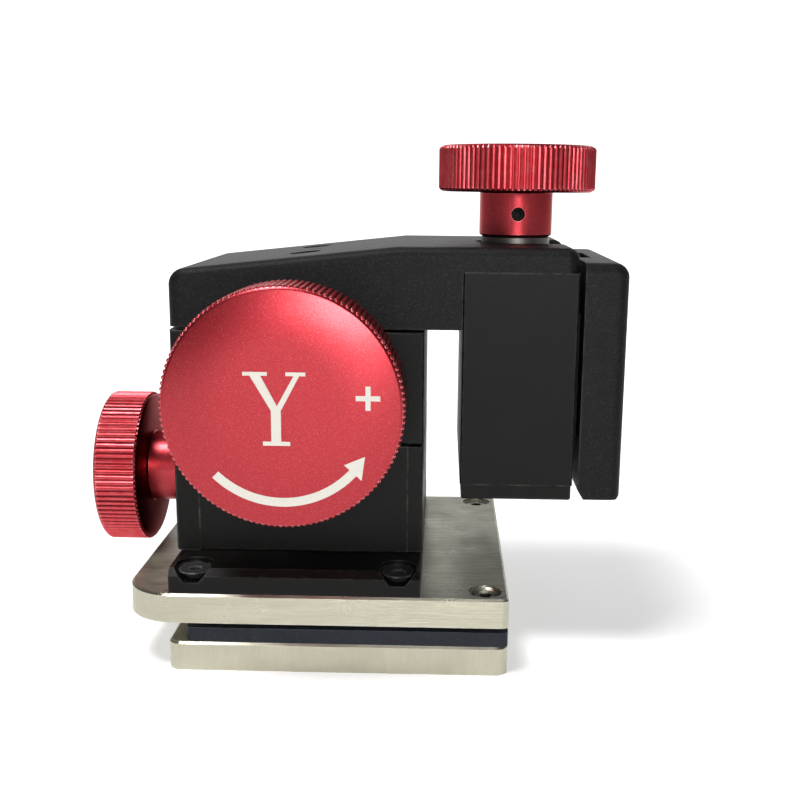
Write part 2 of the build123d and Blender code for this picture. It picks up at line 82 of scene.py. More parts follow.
def colour(name, description, default):
    return FloatVectorProperty(name=name, description=description, default=default, subtype="COLOR", size=3,
                               min=0.0, max=1.0)


class KnobSizes(bpy.types.PropertyGroup):
    small_teeth: IntProperty(name="Small knob teeth", description="Teeth of the X and Z knobs", default=88)
    big_teeth: IntProperty(name="Large knob teeth", description="Teeth of the Y knob", default=126)
    hub_radius: number("Hub radius", "Radius of each knob's hub", 9.1 * MM)
    hub_length: number("Hub length", "From the bearing ring to the knob's back", 10.7 * MM)
    rim: number("Rim", "Plain chamfer at both ends of the knurl", 0.5 * MM)
    tooth: number("Tooth", "Half the width of one ridge", 0.62 * MM)
    screw_height: number("Set screw height", "Set screw above the hub's end", 5.4 * MM)
    screw_radius: number("Set screw radius", "Radius of the set screw's hole", 1.65 * MM)
    red: colour("Red", "Anodised red of the knobs", (0.50, 0.030, 0.042))


class MarkSizes(bpy.types.PropertyGroup):
    arc_radius: number("Arrow radius", "Middle radius of the curved arrow on the large knob", 20.4 * MM)
    arc_width: number("Arrow width", "Width of the curved arrow's line", 1.95 * MM)
    proud: number("Mark thickness", "How far a mark stands over the knob's face", 0.03 * MM)
    white: colour("White", "Printed mark", (0.80, 0.765, 0.685))


class ScrewSizes(bpy.types.PropertyGroup):
    head_radius: number("Countersunk head", "Radius of an M4 countersunk head", 3.95 * MM)
    cap_radius: number("Cap head", "Radius of an M4 cap head", 3.5 * MM)
    low_head: number("Low head", "Height of a low M4 cap head", 2.3 * MM)
    tall_head: number("Tall head", "Height of a full M4 cap head", 4.0 * MM)
    shank: number("Shank", "Radius of an M4 shank", 2.0 * MM)
    key: number("Key", "Half the width across corners of a low or flat M4 socket", 1.45 * MM)
    tall_key: number("Tall head's key", "The same for a full M4 cap head", 1.7 * MM)
    small_head: number("Small head", "Radius of an M3 countersunk head", 2.75 * MM)
    small_shank: number("Small shank", "Radius of an M3 shank", 1.5 * MM)
    small_key: number("Small key", "Half the width across corners of an M3 socket", 1.15 * MM)


class BodyColours(bpy.types.PropertyGroup):
    steel: colour("Plate", "Warm brushed nickel of the plates", (0.53, 0.512, 0.405))
    magnet: colour("Magnet carrier", "Blue-black layer between the plates", (0.021, 0.0235, 0.031))
    smooth: colour("Stage black", "Smooth black of the stage housings", (0.0042, 0.0038, 0.0034))
    blasted: colour("Arm black", "Blasted black of the arm and the slab", (0.0050, 0.0050, 0.0052))


class StageSettings(bpy.types.PropertyGroup):
    lens_pixels: number("Lens", "Focal length in pixels of the picture", 1099.14, "NONE")
    key_power: number("Key light", "Power of the front light", 6.5, "POWER")
    top_power: number("Top light", "Power of the high light", 10.0, "POWER")
    sky: number("Sky", "Level of the light from all round", 0.15, "NONE")


def sizes(name):
    return getattr(bpy.context.scene, name)


# Shader helpers


def add(tree, kind, **settings):
    """A new node with its plain settings and, for names that are sockets, its input values."""
    made = tree.nodes.new(kind)
    for key, value in settings.items():
        if hasattr(made, key):
            setattr(made, key, value)
        else:
            made.inputs[key.replace("_", " ")].default_value = value
    return made


def feed(tree, socket, value):
    """Gives a socket a plain value or another node's output."""
    if isinstance(value, bpy.types.NodeSocket):
        tree.links.new(value, socket)
    else:
        socket.default_value = value


def maths(tree, operation, a, b=None, clamp=False):
    made = add(tree, "ShaderNodeMath", operation=operation, use_clamp=clamp)
    feed(tree, made.inputs[0], a)
    if b is not None:
        feed(tree, made.inputs[1], b)
    return made.outputs[0]


def ramp(tree, value, low, high, out_low=0.0, out_high=1.0):
    made = add(tree, "ShaderNodeMapRange")
    settings = {"Value": value, "From Min": low, "From Max": high, "To Min": out_low, "To Max": out_high}
    for name, setting in settings.items():
        feed(tree, made.inputs[name], setting)
    return made.outputs["Result"]


def mix(tree, factor, a, b):
    made = add(tree, "ShaderNodeMix", data_type="RGBA")
    sockets = {socket.identifier: socket for socket in made.inputs}
    feed(tree, sockets["Factor_Float"], factor)
    for name, value in (("A_Color", a), ("B_Color", b)):
        feed(tree, sockets[name], value if isinstance(value, bpy.types.NodeSocket) else (*value, 1.0))
    return next(socket for socket in made.outputs if socket.identifier == "Result_Color")


def new_group(name, inputs, outputs):
    """A shader group with float inputs (name, default) and outputs (name, type)."""
    tree = bpy.data.node_groups.new(name, "ShaderNodeTree")
    for label, default in inputs:
        socket = tree.interface.new_socket(label, in_out="INPUT", socket_type="NodeSocketFloat")
        socket.default_value = default
    for label, kind in outputs:
        tree.interface.new_socket(label, in_out="OUTPUT", socket_type=kind)
    return tree, tree.nodes.new("NodeGroupInput"), tree.nodes.new("NodeGroupOutput")


def use_group(tree, group, **values):
    made = tree.nodes.new("ShaderNodeGroup")
    made.node_tree = group
    for key, value in values.items():
        made.inputs[key.replace("_", " ")].default_value = value
    return made


def object_place(tree):
    return add(tree, "ShaderNodeTexCoord").outputs["Object"]


def scaled_place(tree, *stretches):
    """Object coordinates stretched along x, y and z."""
    stretch = add(tree, "ShaderNodeCombineXYZ")
    for socket, value in zip(stretch.inputs, stretches):
        feed(tree, socket, value)
    times = add(tree, "ShaderNodeVectorMath", operation="MULTIPLY")
    tree.links.new(object_place(tree), times.inputs[0])
    tree.links.new(stretch.outputs[0], times.inputs[1])
    return times.outputs[0]


def noise(tree, place, scale, detail=2.0, roughness=0.5):
    made = add(tree, "ShaderNodeTexNoise")
    for name, value in (("Vector", place), ("Scale", scale), ("Detail", detail), ("Roughness", roughness)):
        feed(tree, made.inputs[name], value)
    return made.outputs["Fac"]


def looks_up(tree, low, high):
    """A mask that rises as the surface turns upwards."""
    facing = add(tree, "ShaderNodeSeparateXYZ")
    tree.links.new(add(tree, "ShaderNodeNewGeometry").outputs["Normal"], facing.inputs[0])
    return ramp(tree, facing.outputs["Z"], low, high)


def brushed_grain():
    """Fine parallel scratches with broad cloudy streaks; the three stretches set their direction."""
    tree, given, made = new_group(
        "brushed_grain",
        [("Stretch X", 1.0), ("Stretch Y", 1.0), ("Stretch Z", 1.0)],
        [("Scratches", "NodeSocketFloat"), ("Clouds", "NodeSocketFloat")],
    )
    place = scaled_place(tree, *(given.outputs["Stretch " + axis] for axis in "XYZ"))
    fine = noise(tree, place, 2600.0, 4.0, 0.65)
    wide = noise(tree, place, 700.0, 3.0, 0.6)
    both = maths(tree, "ADD", maths(tree, "MULTIPLY", fine, 0.6), maths(tree, "MULTIPLY", wide, 0.4))
    clouds = noise(tree, object_place(tree), 95.0, 4.0, 0.6)
    tree.links.new(both, made.inputs["Scratches"])
    tree.links.new(clouds, made.inputs["Clouds"])
    return tree


def blast_grain():
    """The tiny pits of a blasted surface, and its bright grains, which are painted glints."""
    tree, given, made = new_group(
        "blast_grain",
        [("Grain", 4200.0), ("Bright", 0.72)],
        [("Grains", "NodeSocketFloat"), ("Sparkle", "NodeSocketFloat"), ("Drift", "NodeSocketFloat")],
    )
    place = object_place(tree)
    cells = add(tree, "ShaderNodeTexVoronoi")
    tree.links.new(place, cells.inputs["Vector"])
    tree.links.new(given.outputs["Grain"], cells.inputs["Scale"])
    picked = add(tree, "ShaderNodeSeparateColor")
    tree.links.new(cells.outputs["Color"], picked.inputs[0])
    over = maths(tree, "SUBTRACT", picked.outputs[0], given.outputs["Bright"])
    sparkle = maths(tree, "MULTIPLY", over, 4.0, clamp=True)
    tree.links.new(noise(tree, place, given.outputs["Grain"]), made.inputs["Grains"])
    tree.links.new(sparkle, made.inputs["Sparkle"])
    tree.links.new(noise(tree, place, 60.0, 3.0, 0.55), made.inputs["Drift"])
    return tree


def edge_wear_and_highlight():
    """A mask that is bright along outer edges, for wear and for a painted highlight: where a rounded normal
    leaves the flat one.
    """
    tree, given, made = new_group(
        "edge_wear_and_highlight", [("Width", 0.0005), ("Breaks", 900.0)], [("Edge", "NodeSocketFloat")]
    )
    rounded = add(tree, "ShaderNodeBevel", samples=6)
    tree.links.new(given.outputs["Width"], rounded.inputs["Radius"])
    flat = add(tree, "ShaderNodeNewGeometry")
    dot = add(tree, "ShaderNodeVectorMath", operation="DOT_PRODUCT")
    tree.links.new(rounded.outputs[0], dot.inputs[0])
    tree.links.new(flat.outputs["Normal"], dot.inputs[1])
    bend = maths(tree, "SUBTRACT", 1.0, dot.outputs["Value"])
    patch = ramp(tree, noise(tree, object_place(tree), given.outputs["Breaks"]), 0.35, 0.65)
    edge = maths(tree, "MULTIPLY", ramp(tree, bend, 0.015, 0.12), patch, clamp=True)
    tree.links.new(edge, made.inputs["Edge"])
    return tree


def settled_dust():
    """Pale dust that lies on faces that look up."""
    tree, given, made = new_group(
        "settled_dust", [("Grain", 1600.0), ("Cover", 0.62)], [("Dust", "NodeSocketFloat")]
    )
    specks = noise(tree, object_place(tree), given.outputs["Grain"], 4.0)
    over = maths(tree, "SUBTRACT", specks, given.outputs["Cover"])
    dust = maths(tree, "MULTIPLY", maths(tree, "MULTIPLY", over, 9.0, clamp=True), looks_up(tree, 0.35, 0.95))
    tree.links.new(dust, made.inputs["Dust"])
    return tree


def groove_shade():
    """A mask for painted shade in the grooves between ridges, where nearby faces close the view."""
    tree, given, made = new_group("groove_shade", [("Reach", 0.0009)], [("Groove Shade", "NodeSocketFloat")])
    closed = add(tree, "ShaderNodeAmbientOcclusion", samples=6, only_local=True)
    tree.links.new(given.outputs["Reach"], closed.inputs["Distance"])
    tree.links.new(ramp(tree, closed.outputs["AO"], 0.38, 0.76, 1.0, 0.0), made.inputs["Groove Shade"])
    return tree


MADE_ONCE = {}


def group(maker):
    """The group that a maker builds, built once."""
    if maker.__name__ not in MADE_ONCE:
        MADE_ONCE[maker.__name__] = maker()
    return MADE_ONCE[maker.__name__]


def new_material(name, metallic, roughness):
    material = bpy.data.materials.new(name)
    material.use_nodes = True
    tree = material.node_tree
    shader = tree.nodes["Principled BSDF"]
    shader.inputs["Metallic"].default_value = metallic
    shader.inputs["Roughness"].default_value = roughness
    return material, tree, shader


def set_bump(tree, shader, height, distance, strength=1.0):
    bump = add(tree, "ShaderNodeBump")
    bump.inputs["Strength"].default_value = strength
    bump.inputs["Distance"].default_value = distance
    tree.links.new(height, bump.inputs["Height"])
    tree.links.new(bump.outputs[0], shader.inputs["Normal"])


def shade(value, factor):
    return tuple(min(1.0, c * factor) for c in value)


# Finishes


NICKEL_WEAR_AND_HIGHLIGHT = (0.92, 0.9, 0.85)
PALE_DUST = (0.35, 0.35, 0.34)
RED_SPARKLE = (0.85, 0.22, 0.24)
RED_EDGE_HIGHLIGHT = (0.92, 0.34, 0.36)
RED_REFLECTION = (0.55, 0.22, 0.25, 1.0)


def plate_steel(name, stretch, base, dark, low, high, depth):
    """Brushed warm nickel: streaked and cloudy, with edges painted bright as wear and a painted highlight,
    and faces that look up painted darker as a painted dark reflection.
    """
    material, tree, shader = new_material(name, 1.0, low)
    x, y, z = stretch
    grain = use_group(tree, group(brushed_grain), Stretch_X=x, Stretch_Y=y, Stretch_Z=z)
    wear_and_highlight = use_group(tree, group(edge_wear_and_highlight), Width=0.0004, Breaks=300.0)
    streak = ramp(tree, grain.outputs["Scratches"], 0.36, 0.64)
    tone = mix(tree, streak, shade(base, dark), base)
    cloudy = mix(tree, ramp(tree, grain.outputs["Clouds"], 0.42, 0.62, 0.0, 0.35), tone, shade(base, 0.85))
    # Faces that look up are painted darker over their streaks: a painted dark reflection.
    painted_dark_top = mix(tree, streak, shade(base, 0.3), shade(base, 0.52))
    cloudy = mix(tree, looks_up(tree, 0.6, 0.95), cloudy, painted_dark_top)
    # Edges painted bright: wear and a painted highlight.
    edged = mix(tree, maths(tree, "MULTIPLY", wear_and_highlight.outputs["Edge"], 0.7), cloudy, NICKEL_WEAR_AND_HIGHLIGHT)
    tree.links.new(edged, shader.inputs["Base Color"])
    tree.links.new(ramp(tree, grain.outputs["Clouds"], 0.35, 0.65, low, high), shader.inputs["Roughness"])
    shader.inputs["Anisotropic"].default_value = 0.9
    along = add(tree, "ShaderNodeCombineXYZ")
    along.inputs[1].default_value = 1.0
    tree.links.new(along.outputs[0], shader.inputs["Tangent"])
    set_bump(tree, shader, grain.outputs["Scratches"], depth)
    return material


def black_metal(name, base, grain_scale, bright, rough, bump, sparkle, edge):
    """Black anodised metal with its grain, bright grains painted as glints, an edge painted lighter as wear
    and a painted highlight, and a little dust.
    """
    material, tree, shader = new_material(name, 0.0, rough)
    shader.inputs["Specular IOR Level"].default_value = 0.16
    grain = use_group(tree, group(blast_grain), Grain=grain_scale, Bright=bright)
    wear_and_highlight = use_group(tree, group(edge_wear_and_highlight), Width=0.0006, Breaks=420.0)
    dust = use_group(tree, group(settled_dust), Grain=1500.0, Cover=0.64)
    tone = mix(tree, ramp(tree, grain.outputs["Drift"], 0.35, 0.65), shade(base, 0.86), shade(base, 1.15))
    # Bright grains painted in as glints.
    tone = mix(tree, grain.outputs["Sparkle"], tone, sparkle)
    # Edges painted lighter: wear and a painted highlight.
    tone = mix(tree, maths(tree, "MULTIPLY", wear_and_highlight.outputs["Edge"], 0.55), tone, edge)
    tone = mix(tree, maths(tree, "MULTIPLY", dust.outputs["Dust"], 0.16), tone, PALE_DUST)
    tree.links.new(tone, shader.inputs["Base Color"])
    tree.links.new(ramp(tree, grain.outputs["Grains"], 0.3, 0.7, rough - 0.08, rough + 0.08),
                   shader.inputs["Roughness"])
    set_bump(tree, shader, grain.outputs["Grains"], bump, 0.8)
    return material


def red_anodised(name, base, sheen):
    """Fine blasted red anodised metal, with painted shade in its grooves and where nearby black faces close
    it in, bright grains painted as glints, and edges painted bright as a painted highlight.
    """
    material, tree, shader = new_material(name, 1.0, 0.4)
    shader.inputs["Specular Tint"].default_value = RED_REFLECTION
    shader.inputs["Coat Roughness"].default_value = 0.24
    shadow = use_group(tree, group(groove_shade), Reach=0.0009)
    # Painted shade where nearby black faces close the knob in, left off the hub; the coat is thinned under it
    # too.
    hidden = add(tree, "ShaderNodeAmbientOcclusion", samples=6)
    hidden.inputs["Distance"].default_value = 0.02
    spared = add(tree, "ShaderNodeAttribute", attribute_name="hub").outputs["Fac"]
    painted_shade = ramp(tree, hidden.outputs["AO"], 0.25, 0.7, 0.85, 0.0)
    painted_shade = maths(tree, "MULTIPLY", painted_shade, maths(tree, "SUBTRACT", 1.0, spared))
    grain = use_group(tree, group(blast_grain), Grain=7500.0, Bright=0.8)
    wear_and_highlight = use_group(tree, group(edge_wear_and_highlight), Width=0.0006, Breaks=500.0)
    tone = mix(tree, ramp(tree, grain.outputs["Grains"], 0.3, 0.7), shade(base, 0.85), shade(base, 1.15))
    # Bright grains painted in as glints.
    tone = mix(tree, maths(tree, "MULTIPLY", grain.outputs["Sparkle"], 0.3), tone, RED_SPARKLE)
    # Edges and ridge tips get a painted highlight.
    tone = mix(tree, maths(tree, "MULTIPLY", wear_and_highlight.outputs["Edge"], sheen), tone, RED_EDGE_HIGHLIGHT)
    coat = maths(tree, "MULTIPLY", maths(tree, "SUBTRACT", 1.0, painted_shade), 0.5)
    tree.links.new(coat, shader.inputs["Coat Weight"])
    tone = mix(tree, painted_shade, tone, shade(base, 0.15))
    # Painted shade in the grooves between the ridges.
    tone = mix(tree, shadow.outputs["Groove Shade"], tone, shade(base, 0.1))
    tree.links.new(tone, shader.inputs["Base Color"])
    tree.links.new(ramp(tree, grain.outputs["Grains"], 0.3, 0.7, 0.26, 0.4), shader.inputs["Roughness"])
    set_bump(tree, shader, grain.outputs["Grains"], 0.00002, 0.6)
    return material


def bright_steel(name, base, rough):
    """Turned bright steel."""
    material, tree, shader = new_material(name, 1.0, rough)
    grain = use_group(tree, group(brushed_grain), Stretch_X=0.3, Stretch_Y=0.3, Stretch_Z=1.0)
    tone = mix(tree, ramp(tree, grain.outputs["Scratches"], 0.35, 0.65), shade(base, 0.85), base)
    tree.links.new(tone, shader.inputs["Base Color"])
    tree.links.new(ramp(tree, grain.outputs["Clouds"], 0.3, 0.7, rough - 0.06, rough + 0.08),
                   shader.inputs["Roughness"])
    return material


def printed_white(name, base):
    """Slightly uneven white print."""
    material, tree, shader = new_material(name, 0.0, 0.55)
    grain = use_group(tree, group(blast_grain), Grain=3000.0, Bright=0.9)
    tone = mix(tree, ramp(tree, grain.outputs["Grains"], 0.35, 0.65), shade(base, 0.93), base)
    tree.links.new(tone, shader.inputs["Base Color"])
    return material


def finishes():
    """Every finish, by name, built once."""
    if "finishes" in MADE_ONCE:
        return MADE_ONCE["finishes"]
    body = sizes("positioner_colours")
    knob = sizes("positioner_knobs")
    steel = tuple(body.steel)
    made = {
        "plate_top": plate_steel("plate_top", (0.06, 1.0, 1.0), steel,
                                 dark=0.86, low=0.26, high=0.36, depth=0.00013),
        "plate_side": plate_steel("plate_bottom", (1.0, 0.3, 0.12), steel,
                                  dark=0.9, low=0.28, high=0.4, depth=0.00001),
        # The edge colours here are painted lighter than each black: wear and a painted highlight.
        "carrier_black": black_metal("magnet_layer", tuple(body.magnet), 2500.0, 0.9, rough=0.55,
                                     bump=0.00003, sparkle=(0.05, 0.055, 0.07), edge=(0.07, 0.075, 0.09)),
        "smooth_black": black_metal("stage_black", tuple(body.smooth), 3800.0, 0.95, rough=0.46, bump=0.00001,
                                    sparkle=(0.022, 0.022, 0.02), edge=(0.10, 0.10, 0.09)),
        "blasted_black": black_metal("arm_black", tuple(body.blasted), 3800.0, 0.80, rough=0.5, bump=0.00009,
                                     sparkle=(0.022, 0.022, 0.022), edge=(0.10, 0.10, 0.10)),
        "black_oxide": black_metal("screw_black", (0.03, 0.03, 0.032), 3000.0, 0.9, rough=0.34, bump=0.00001,
                                   sparkle=(0.07, 0.07, 0.07), edge=(0.35, 0.35, 0.34)),
        # The set screw is painted near-black: painted shade of the hole it sits in.
        "socket_shade_black": black_metal("set_screw_painted_shade", (0.004, 0.004, 0.004), 3000.0, 0.95, rough=0.6,
                                    bump=0.00001, sparkle=(0.01, 0.01, 0.01), edge=(0.02, 0.02, 0.02)),
        # One red in two copies: the knob's body painted darker, a painted shade, and its knurl painted
        # lighter, a painted light.
        "red_anodised": red_anodised("knob_red_shaded", shade(tuple(knob.red), 0.82), sheen=0.6),
        "red_knurl_lit": red_anodised("knurl_red_lit", shade(tuple(knob.red), 1.12), sheen=0.9),
        # Bright steel painted dark, a painted shade, for the bearing rings and the other bright steel pieces.
        "bright_steel": bright_steel("steel_painted_dark", (0.19, 0.18, 0.17), 0.4),
        # Plated screw heads painted dark: a painted dark reflection.
        "plated_painted_dark": bright_steel("plated_screw_painted_dark", (0.20, 0.195, 0.18), 0.3),
        "rail_steel": bright_steel("ground_rail", (0.5, 0.5, 0.5), 0.3),
        "nut_brass": bright_steel("turned_brass", (0.72, 0.52, 0.22), 0.32),
        "mark_white": printed_white("printed_mark", tuple(sizes("positioner_marks").white)),
    }
    MADE_ONCE["finishes"] = made
    return made


# Mesh helpers


SAME_POINT = 0.001 * MM
SHARP_FROM = math.radians(32.0)


def new_object(name, mesh):
    made = bpy.data.objects.new(name, mesh)
    bpy.context.scene.collection.objects.link(made)
    return made


def smooth(mesh):
    mesh.shade_smooth()
    mesh.set_sharp_from_angle(angle=SHARP_FROM)


def place_piece(piece, body, material, hides=()):
    """Gives a finished piece its finish, its body and the nodes it stands for."""
    if material is not None:
        piece.data.materials.clear()
        piece.data.materials.append(material)
    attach(piece, body)
    if hides:
        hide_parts(*hides)


def smooth_copy(node, material):
    """Puts a merged, smoothly shaded copy in place of a node."""
    mesh = NODES[node].data.copy()
    mesh.materials.clear()
    work = bmesh.new()
    work.from_mesh(mesh)
    bmesh.ops.remove_doubles(work, verts=work.verts, dist=SAME_POINT)
    work.to_mesh(mesh)
    work.free()
    if mesh.attributes.get("custom_normal"):
        mesh.attributes.remove(mesh.attributes["custom_normal"])
    smooth(mesh)
    place_piece(new_object(node + "_skin", mesh), BODY_OF[node], material, [node])


def dress(node, material):
    """A new finish on a node whose shape stays."""
    mesh = NODES[node].data
    mesh.materials.clear()
    mesh.materials.append(material)


def lathe(profile, segments):
    """A closed turned solid about z: the profile runs from the lower axis point to the upper one."""
    work = bmesh.new()
    turn = [2 * math.pi * k / segments for k in range(segments)]
    rings = []
    for r, z in profile:
        if r == 0:
            rings.append([work.verts.new((0, 0, z))])
        else:
            rings.append([work.verts.new((r * math.cos(a), r * math.sin(a), z)) for a in turn])
    for low, high in zip(rings, rings[1:]):
        for k in range(segments):
            n = (k + 1) % segments
            if len(low) == 1:
                work.faces.new((low[0], high[n], high[k]))
            elif len(high) == 1:
                work.faces.new((low[k], low[n], high[0]))
            else:
                work.faces.new((low[k], low[n], high[n], high[k]))
    return work


def to_mesh(work, name):
    bmesh.ops.recalc_face_normals(work, faces=work.faces)
    mesh = bpy.data.meshes.new(name)
    work.to_mesh(mesh)
    work.free()
    return mesh


def hex_screw(name, profile, key, socket_depth):
    """A screw with its top at z 0: an outer profile from the tip up, and a hexagon socket."""
    count = 48
    mouth, bevel, cone = 1.16, 0.15 * key, 0.2 * key
    turn = [2 * math.pi * k / count for k in range(count)]
    apothem = key * math.cos(math.pi / 6)

    def hexagon(a):
        return apothem / math.cos((a + math.pi / 6) % (math.pi / 3) - math.pi / 6)

    rings = [[(r * math.cos(a), r * math.sin(a), z) for a in turn] for r, z in profile]
    for wider, z in ((mouth, 0.0), (1.0, -bevel), (1.0, -socket_depth)):
        rings.append([(wider * hexagon(a) * math.cos(a), wider * hexagon(a) * math.sin(a), z) for a in turn])
    work = bmesh.new()
    made = [[work.verts.new(point) for point in ring] for ring in rings]
    bottom = work.verts.new((0, 0, profile[0][1]))
    floor = work.verts.new((0, 0, -socket_depth - cone))
    for k in range(count):
        n = (k + 1) % count
        work.faces.new((bottom, made[0][n], made[0][k]))
        work.faces.new((floor, made[-1][k], made[-1][n]))
        for low, high in zip(made, made[1:]):
            work.faces.new((low[k], low[n], high[n], high[k]))
    return to_mesh(work, name)


def flat_profile(radius, shank, long_way):
    """Outer profile of a countersunk screw."""
    edge = 0.2 * MM
    under = radius - shank + edge
    return [(shank, -long_way), (shank, -under), (radius, -edge), (radius - edge, 0.0)]


def cap_profile(radius, head, shank, long_way):
    """Outer profile of a cap screw with a rounded rim."""
    edge = 0.35 * MM
    return [(shank, -long_way), (shank, -head), (radius, -head), (radius, -edge),
            (radius - 0.3 * edge, -0.3 * edge), (radius - edge, 0.0)]


# Geometry Nodes


def tree_with(name, inputs):
    tree = bpy.data.node_groups.new(name, "GeometryNodeTree")
    tree.is_modifier = True
    tree.interface.new_socket("Geometry", in_out="INPUT", socket_type="NodeSocketGeometry")
    for label, kind, default in inputs:
        socket = tree.interface.new_socket(label, in_out="INPUT", socket_type=kind)
        if default is not None:
            socket.default_value = default
    tree.interface.new_socket("Geometry", in_out="OUTPUT", socket_type="NodeSocketGeometry")
    return tree, tree.nodes.new("NodeGroupInput"), tree.nodes.new("NodeGroupOutput")


RIDGE_SIDES = 12
RIDGE_TIP = 0.35


def knurl_tree():
    """A ring of straight ridges with tapered ends."""
    tree, given, made = tree_with("knurled_ring", [
        ("Teeth", "NodeSocketInt", 88),
        ("Radius", "NodeSocketFloat", 0.019),
        ("Ridge", "NodeSocketFloat", 0.0006),
        ("Length", "NodeSocketFloat", 0.009),
        ("Taper", "NodeSocketFloat", 0.0006),
        ("Height", "NodeSocketFloat", 0.0),
        ("Finish", "NodeSocketMaterial", None),
    ])
    link = tree.links.new
    source = given.outputs
    points = add(tree, "GeometryNodePoints")
    link(source["Teeth"], points.inputs["Count"])
    step = maths(tree, "DIVIDE", 2 * math.pi, source["Teeth"])
    angle = maths(tree, "MULTIPLY", add(tree, "GeometryNodeInputIndex").outputs[0], step)
    spot = add(tree, "ShaderNodeCombineXYZ")
    link(maths(tree, "MULTIPLY", maths(tree, "COSINE", angle), source["Radius"]), spot.inputs[0])
    link(maths(tree, "MULTIPLY", maths(tree, "SINE", angle), source["Radius"]), spot.inputs[1])
    link(source["Height"], spot.inputs[2])
    moved = add(tree, "GeometryNodeSetPosition")
    link(points.outputs[0], moved.inputs["Geometry"])
    link(spot.outputs[0], moved.inputs["Position"])
    half = maths(tree, "MULTIPLY", source["Length"], 0.5)
    ridge = add(tree, "GeometryNodeJoinGeometry")
    shaft = add(tree, "GeometryNodeMeshCylinder")
    shaft.inputs["Vertices"].default_value = RIDGE_SIDES
    link(source["Ridge"], shaft.inputs["Radius"])
    link(maths(tree, "SUBTRACT", source["Length"], maths(tree, "MULTIPLY", source["Taper"], 2.0)),
         shaft.inputs["Depth"])
    link(shaft.outputs["Mesh"], ridge.inputs[0])
    for side in (1, -1):
        tip = add(tree, "GeometryNodeMeshCone")
        tip.inputs["Vertices"].default_value = RIDGE_SIDES
        wide, narrow = ("Radius Bottom", "Radius Top") if side > 0 else ("Radius Top", "Radius Bottom")
        link(source["Ridge"], tip.inputs[wide])
        link(maths(tree, "MULTIPLY", source["Ridge"], RIDGE_TIP), tip.inputs[narrow])
        link(source["Taper"], tip.inputs["Depth"])
        shift = add(tree, "ShaderNodeCombineXYZ")
        end = maths(tree, "MULTIPLY", half, -1.0)
        if side > 0:
            end = maths(tree, "SUBTRACT", half, source["Taper"])
        link(end, shift.inputs[2])
        carried = add(tree, "GeometryNodeTransform")
        link(tip.outputs["Mesh"], carried.inputs["Geometry"])
        link(shift.outputs[0], carried.inputs["Translation"])
        link(carried.outputs[0], ridge.inputs[0])
    turn = add(tree, "ShaderNodeCombineXYZ")
    link(angle, turn.inputs[2])
    ring = add(tree, "GeometryNodeInstanceOnPoints")
    link(moved.outputs[0], ring.inputs["Points"])
    link(ridge.outputs[0], ring.inputs["Instance"])
    link(turn.outputs[0], ring.inputs["Rotation"])
    end_tree(tree, ring.outputs[0], source["Finish"], made)
    return tree


def end_tree(tree, geometry, finish, made):
    """Every tree ends the same way: real meshes, then their finish."""
    real = add(tree, "GeometryNodeRealizeInstances")
    tree.links.new(geometry, real.inputs[0])
    coat = add(tree, "GeometryNodeSetMaterial")
    tree.links.new(real.outputs[0], coat.inputs["Geometry"])
    tree.links.new(finish, coat.inputs["Material"])
    tree.links.new(coat.outputs[0], made.inputs[0])


def heads_tree():
    """One screw head on every point of the carrier mesh."""
    tree, given, made = tree_with("screw_heads", [
        ("Head", "NodeSocketObject", None),
        ("Finish", "NodeSocketMaterial", None),
    ])
    link = tree.links.new
    head = add(tree, "GeometryNodeObjectInfo")
    link(given.outputs["Head"], head.inputs["Object"])
    facing = add(tree, "GeometryNodeInputNamedAttribute", data_type="FLOAT_VECTOR")
    facing.inputs["Name"].default_value = "facing"
    ring = add(tree, "GeometryNodeInstanceOnPoints")
    link(given.outputs["Geometry"], ring.inputs["Points"])
    link(head.outputs["Geometry"], ring.inputs["Instance"])
    link(facing.outputs["Attribute"], ring.inputs["Rotation"])
    end_tree(tree, ring.outputs[0], given.outputs["Finish"], made)
    return tree


def run_tree(carrier, tree, values, name):
    """Runs a tree on a carrier object and returns its result as a plain mesh."""
    modifier = carrier.modifiers.new(tree.name, "NODES")
    modifier.node_group = tree
    for item in tree.interface.items_tree:
        if item.in_out == "INPUT" and item.name in values:
            modifier[item.identifier] = values[item.name]
    mesh = shaped_mesh(carrier)
    mesh.name = name
    bpy.data.objects.remove(carrier)
    return mesh


def shaped_mesh(piece):
    """The mesh that a piece's modifiers give; they are removed."""
    depsgraph = bpy.context.evaluated_depsgraph_get()
    mesh = bpy.data.meshes.new_from_object(piece.evaluated_get(depsgraph), depsgraph=depsgraph)
    piece.modifiers.clear()
    return mesh


# Knobs


KNOBS = {
    "x": ("x_knob", Vector((-1, 0, 0)), Vector((0, 0, 1))),
    "y": ("y_knob", Vector((0, -1, 0)), Vector((0, 0, 1))),
    "z": ("z_knob", Vector((0, 0, 1)), Vector((0, 1, 0))),
}
KNOB_SIDES = 160
BORE_SIDES = 40
HOLE_DEPTH = 3.4 * MM
HOLE_LENGTH = 5.0 * MM
SET_SCREW_SUNK = 1.7 * MM
SET_SCREW_LENGTH = 3.0 * MM
SET_SCREW_EDGE = 0.2 * MM
SET_SCREW_KEY = 0.95 * MM
SET_SCREW_SOCKET = 1.4 * MM
SLIDING_FIT = 0.1 * MM
KNURL_TAPER = 0.5 * MM
KNURL_OVERLAP = 0.3 * MM


def knob_frame(axis):
    """The knob's own frame: z out along its axis from the hub's end, y up on its face."""
    node, out, up = KNOBS[axis]
    low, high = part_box(node)
    centre = (low + high) / 2
    reach = (high - low).dot(Vector(map(abs, out))) / 2
    right = up.cross(out)
    turn = Matrix((right, up, out)).transposed().to_4x4()
    return Matrix.Translation(centre - out * reach) @ turn


